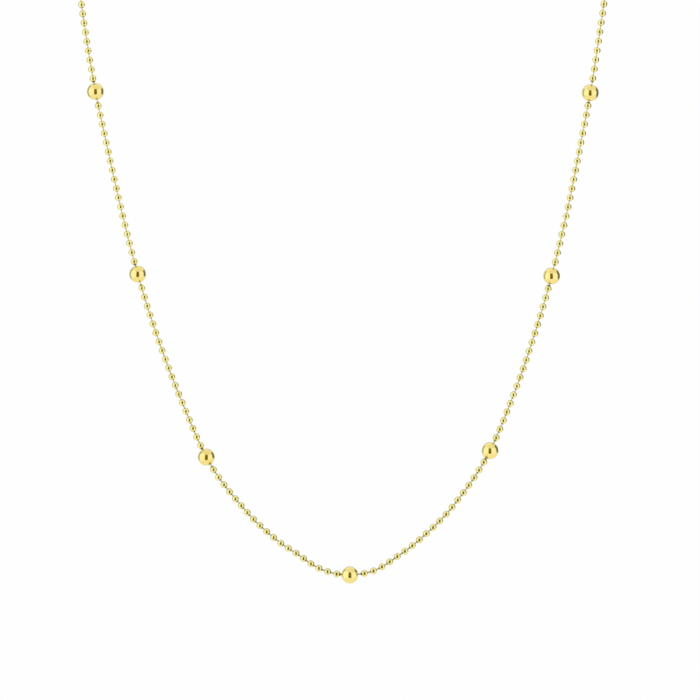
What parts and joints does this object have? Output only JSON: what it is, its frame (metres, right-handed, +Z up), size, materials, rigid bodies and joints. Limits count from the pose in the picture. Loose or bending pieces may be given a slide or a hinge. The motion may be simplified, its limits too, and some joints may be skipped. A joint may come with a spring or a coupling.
{
  "type": "ball chain necklace",
  "caption": "Ball chain necklace in its worn form: runs of small drilled balls on link wire, a larger ball between the runs, and a plain barrel clasp at the nape.",
  "frame": {"origin": "middle of the clasp, where the necklace sits on the nape of the neck", "axes": "+Z up as worn, -Y the way the wearer faces, +X to the right of someone who faces the wearer"},
  "size_m": [0.102, 0.0781, 0.136],
  "materials": {
    "small_ball_gold": "polished yellow gold plate",
    "large_ball_gold": "polished yellow gold plate",
    "wire_gold": "drawn and plated, a little duller than the balls",
    "clasp_gold": "polished yellow gold plate"
  },
  "bodies": {
    "root": {"small_balls": "small_ball_gold", "link_wire": "wire_gold", "clasp": "clasp_gold", "large_ball_1": "large_ball_gold", "large_ball_2": "large_ball_gold", "large_ball_3": "large_ball_gold", "large_ball_4": "large_ball_gold", "large_ball_5": "large_ball_gold", "large_ball_6": "large_ball_gold", "large_ball_7": "large_ball_gold", "large_ball_8": "large_ball_gold", "large_ball_9": "large_ball_gold", "large_ball_10": "large_ball_gold", "large_ball_11": "large_ball_gold", "large_ball_12": "large_ball_gold", "large_ball_13": "large_ball_gold"}
  },
  "joints": []
}
